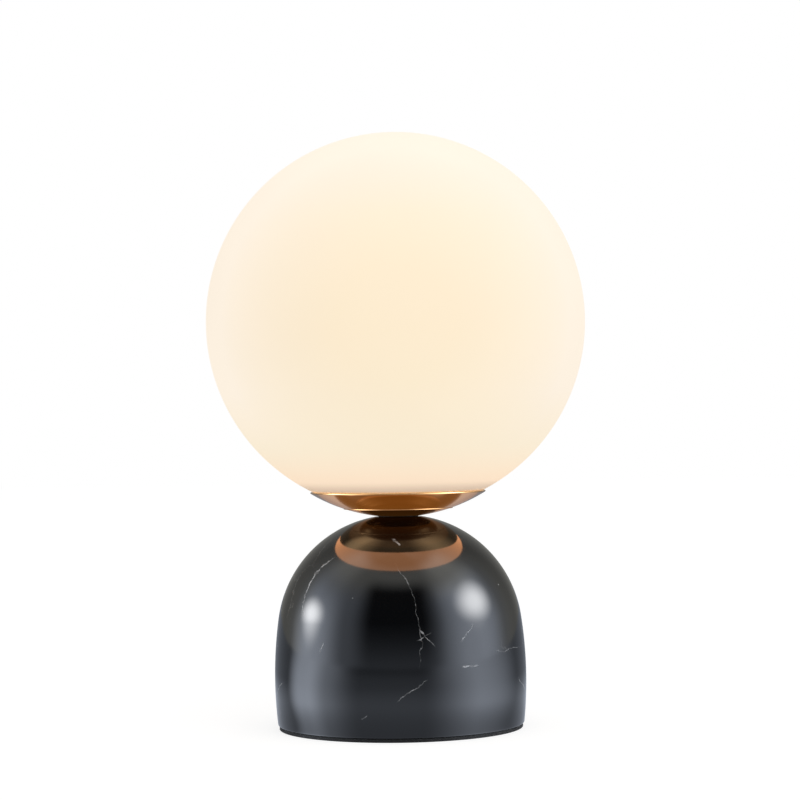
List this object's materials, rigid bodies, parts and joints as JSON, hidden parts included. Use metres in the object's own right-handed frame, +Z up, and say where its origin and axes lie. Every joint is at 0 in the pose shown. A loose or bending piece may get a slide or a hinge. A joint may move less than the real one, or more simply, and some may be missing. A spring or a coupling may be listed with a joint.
{
  "type": "globe table lamp",
  "caption": "Table lamp: an opal glass globe in a shallow brass dish on a domed marble base, with a push-in bulb.",
  "frame": {"origin": "centre of the pad's underside, on the table", "axes": "+Z up along the lamp's axis; -Y is the front in the picture; +Y is the cord inlet's side"},
  "size_m": [0.2, 0.2, 0.3137],
  "materials": {
    "foam_pad": "matt",
    "black_marble": "polished, white veins",
    "black_nylon": "satin",
    "zinc_steel": "zinc plated",
    "natural_nylon": "moulded",
    "screw_steel": "zinc plated",
    "bare_brass": "machined",
    "black_rubber": "matt",
    "polished_brass": "spun and polished",
    "clear_silicone": "soft, milky",
    "spring_steel": "bright",
    "ceramic": "unglazed white",
    "bronze": "stamped",
    "brown_insulation": "matt",
    "blue_insulation": "matt",
    "opal_glass": "gloss opal white, blown",
    "white_pbt": "moulded",
    "opal_plastic": "frosted",
    "circuit_board": "solder mask",
    "led_phosphor": "gel",
    "nickel_wire": "bright"
  },
  "bodies": {
    "base": {"base_pad": "foam_pad", "marble_base": "black_marble", "cord_bush": "black_nylon", "wiring_plate": "zinc_steel", "cord_clamp": "natural_nylon", "cord_clamp_screws": "screw_steel", "terminal_block": "natural_nylon", "terminal_barrels": "bare_brass", "terminal_screws": "screw_steel", "terminal_block_screw": "screw_steel", "base_lock_washer": "zinc_steel", "base_nut": "zinc_steel", "threaded_tube": "zinc_steel", "tube_end_bush": "natural_nylon", "dome_washer": "black_rubber", "brass_dish": "polished_brass", "globe_seat": "clear_silicone", "globe_spring": "spring_steel", "dish_washer": "zinc_steel", "dish_nut": "zinc_steel", "holder_cup": "zinc_steel", "holder_body": "ceramic", "holder_contacts": "bronze", "holder_screws": "screw_steel", "live_lead": "brown_insulation", "neutral_lead": "blue_insulation"},
    "globe": {"glass_globe": "opal_glass"},
    "bulb": {"bulb_base": "white_pbt", "bulb_cover": "opal_plastic", "bulb_board": "circuit_board", "bulb_leds": "led_phosphor", "bulb_pins": "nickel_wire"}
  },
  "joints": [
    {"name": "globe_lift", "type": "slide", "parent": "base", "child": "globe", "axis": [0, 0, 1], "range_m": [0, 0.12], "deforming": ["globe_spring"]},
    {"name": "bulb_pull", "type": "slide", "parent": "base", "child": "bulb", "axis": [0, 0, 1], "range_m": [0, 0.03]}
  ]
}
